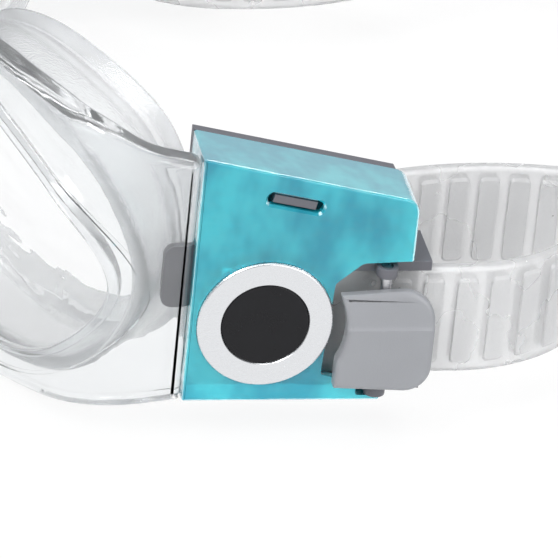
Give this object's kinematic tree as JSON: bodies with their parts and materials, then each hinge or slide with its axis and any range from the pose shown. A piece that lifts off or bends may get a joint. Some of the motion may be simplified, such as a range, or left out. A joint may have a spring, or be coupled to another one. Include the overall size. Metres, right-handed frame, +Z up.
{
  "type": "swim goggles",
  "caption": "Clear wrap-round swim goggles with soft face skirts, quick-release strap buckles with translucent aqua covers and a split silicone head strap",
  "frame": {"origin": "centre of the bounding box, on the surface the goggles stand on", "axes": "+Z up, +X towards the wearer's left and square to the plane of symmetry, the front faces -Y"},
  "size_m": [0.1442, 0.1674, 0.048],
  "materials": {
    "clear_frame": "clear moulded plastic",
    "clear_lens": "optical clear",
    "soft_clear_skirt": "soft clear silicone",
    "clear_strap": "ribbed clear silicone",
    "aqua_cover": "translucent gloss",
    "dark_grey_base": "satin moulded",
    "grey_button": "satin moulded",
    "silver_ring": "satin",
    "black_disc": "gloss",
    "steel": "satin"
  },
  "bodies": {
    "goggles": {"badge_disc_left": "black_disc", "badge_disc_right": "black_disc", "badge_ring_left": "silver_ring", "badge_ring_right": "silver_ring", "buckle_base_left": "dark_grey_base", "buckle_base_right": "dark_grey_base", "buckle_cover_left": "aqua_cover", "buckle_cover_right": "aqua_cover", "button_pin_left": "steel", "button_pin_right": "steel", "button_spring_left": "steel", "button_spring_right": "steel", "face_skirt_left": "soft_clear_skirt", "face_skirt_right": "soft_clear_skirt", "front_frame": "clear_frame", "head_strap": "clear_strap", "lens_left": "clear_lens", "lens_right": "clear_lens", "nose_pad": "soft_clear_skirt", "strap_bar_left": "steel", "strap_bar_right": "steel"},
    "button_left": {"release_button_left": "grey_button"},
    "button_right": {"release_button_right": "grey_button"}
  },
  "joints": [
    {"name": "button_left_press", "type": "hinge", "parent": "goggles", "child": "button_left", "pos_m": [0.06854, -0.0242, 0.0165], "axis": [0, 0, 1], "range_deg": [0, 8], "stiffness_Nm_per_rad": 0.02, "springref_deg": -5.73},
    {"name": "button_right_press", "type": "hinge", "parent": "goggles", "child": "button_right", "pos_m": [-0.06854, -0.0242, 0.0165], "axis": [0, 0, -1], "range_deg": [0, 8], "stiffness_Nm_per_rad": 0.02, "springref_deg": -5.73}
  ]
}
